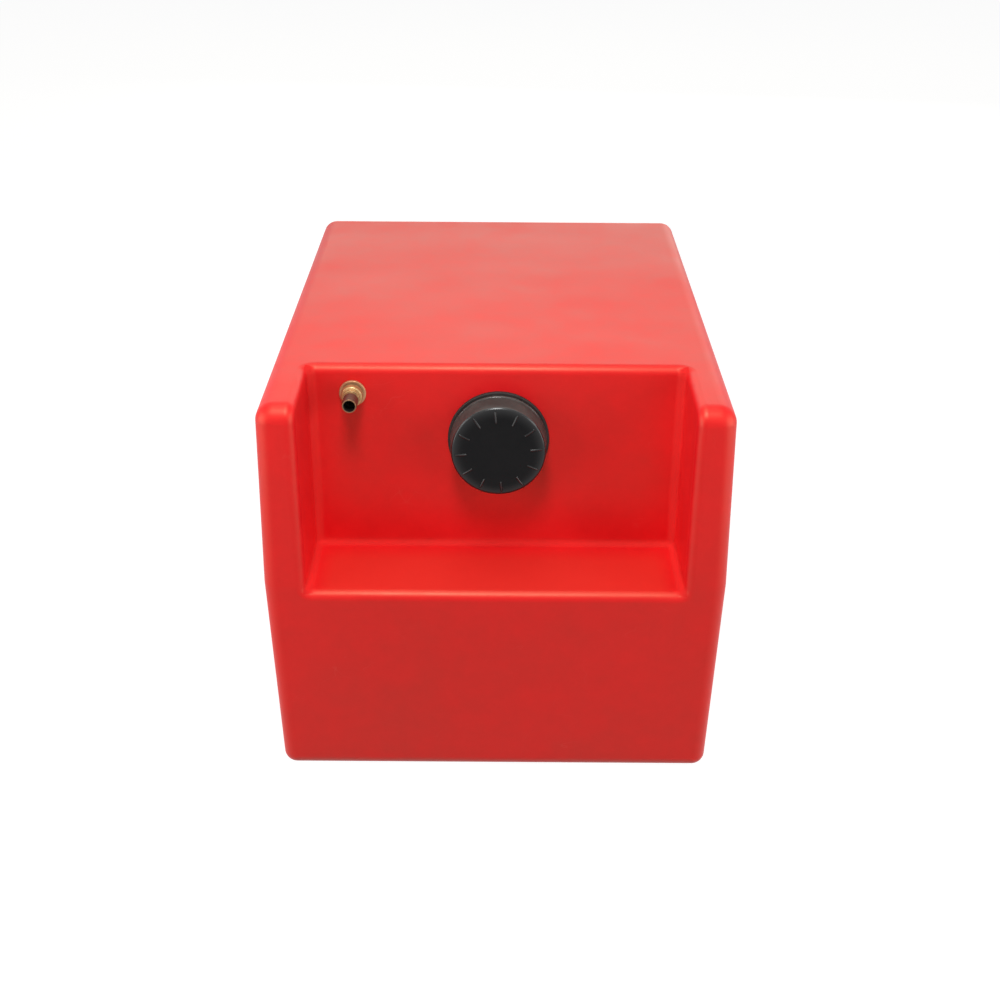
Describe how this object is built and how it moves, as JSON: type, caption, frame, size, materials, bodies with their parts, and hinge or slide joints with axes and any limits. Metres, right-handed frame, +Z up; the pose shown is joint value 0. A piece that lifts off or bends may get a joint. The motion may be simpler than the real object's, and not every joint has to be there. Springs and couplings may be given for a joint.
{
  "type": "outboard fuel tank",
  "caption": "Box-shaped portable plastic fuel tank with a recessed front that holds a vented screw cap and a brass hose outlet with a check valve.",
  "frame": {"origin": "middle of the tank's footprint, on the surface that it stands on", "axes": "+Z up, the recess with the cap and the outlet faces -Y, and the outlet is on the -X side"},
  "size_m": [0.4, 0.524, 0.366],
  "materials": {
    "tank_plastic": "satin red polyethylene, rotomoulded, coloured through",
    "cap_plastic": "satin black",
    "seal_rubber": "matt",
    "slip_plastic": "smooth white",
    "valve_plastic": "matt natural",
    "brass": "machined, slightly dulled",
    "stainless": "bright drawn wire and ball",
    "tube_plastic": "translucent natural nylon",
    "strainer_plastic": "matt white"
  },
  "bodies": {
    "tank": {"tank_shell": "tank_plastic", "filler_neck": "cap_plastic", "outlet_bush": "brass", "outlet_washer": "seal_rubber", "outlet_fitting": "brass", "check_spring": "stainless", "spring_stop": "brass", "pickup_tube": "tube_plastic", "tube_ferrule": "stainless", "strainer_plug": "strainer_plastic", "strainer_screen": "strainer_plastic"},
    "gasket": {"cap_gasket": "seal_rubber"},
    "slip_ring": {"slip_ring": "slip_plastic"},
    "cap": {"cap_shell": "cap_plastic", "cap_core": "cap_plastic", "vent_seat": "valve_plastic", "vent_spring": "stainless"},
    "vent_valve": {"vent_poppet": "valve_plastic", "vent_umbrella": "seal_rubber"},
    "check_ball": {"check_ball": "stainless"}
  },
  "joints": [
    {"name": "cap_pull_off", "type": "slide", "parent": "tank", "child": "gasket", "axis": [0, -0.9994, 0.0349], "range_m": [0, 0.16]},
    {"name": "cap_thread_lift", "type": "slide", "parent": "gasket", "child": "slip_ring", "axis": [0, -0.9994, 0.0349], "range_m": [0, 0.00751]},
    {"name": "cap_turn", "type": "hinge", "parent": "slip_ring", "child": "cap", "pos_m": [0.002, -0.17132, 0.2985], "axis": [0, -0.9994, 0.0349], "range_deg": [0, 450]},
    {"name": "vent_lift", "type": "slide", "parent": "cap", "child": "vent_valve", "axis": [0, -0.9994, 0.0349], "range_m": [0, 0.0022], "stiffness_N_per_m": 1220, "springref_m": -0.002, "deforming": ["vent_spring"]},
    {"name": "check_lift", "type": "slide", "parent": "tank", "child": "check_ball", "axis": [0, -0.9994, 0.0349], "range_m": [0, 0.004], "stiffness_N_per_m": 980, "springref_m": -0.001, "deforming": ["check_spring"]}
  ],
  "couplings": [
    {"joint": "cap_thread_lift", "follows": "cap_turn", "m_per_rad": 0.00095493}
  ]
}
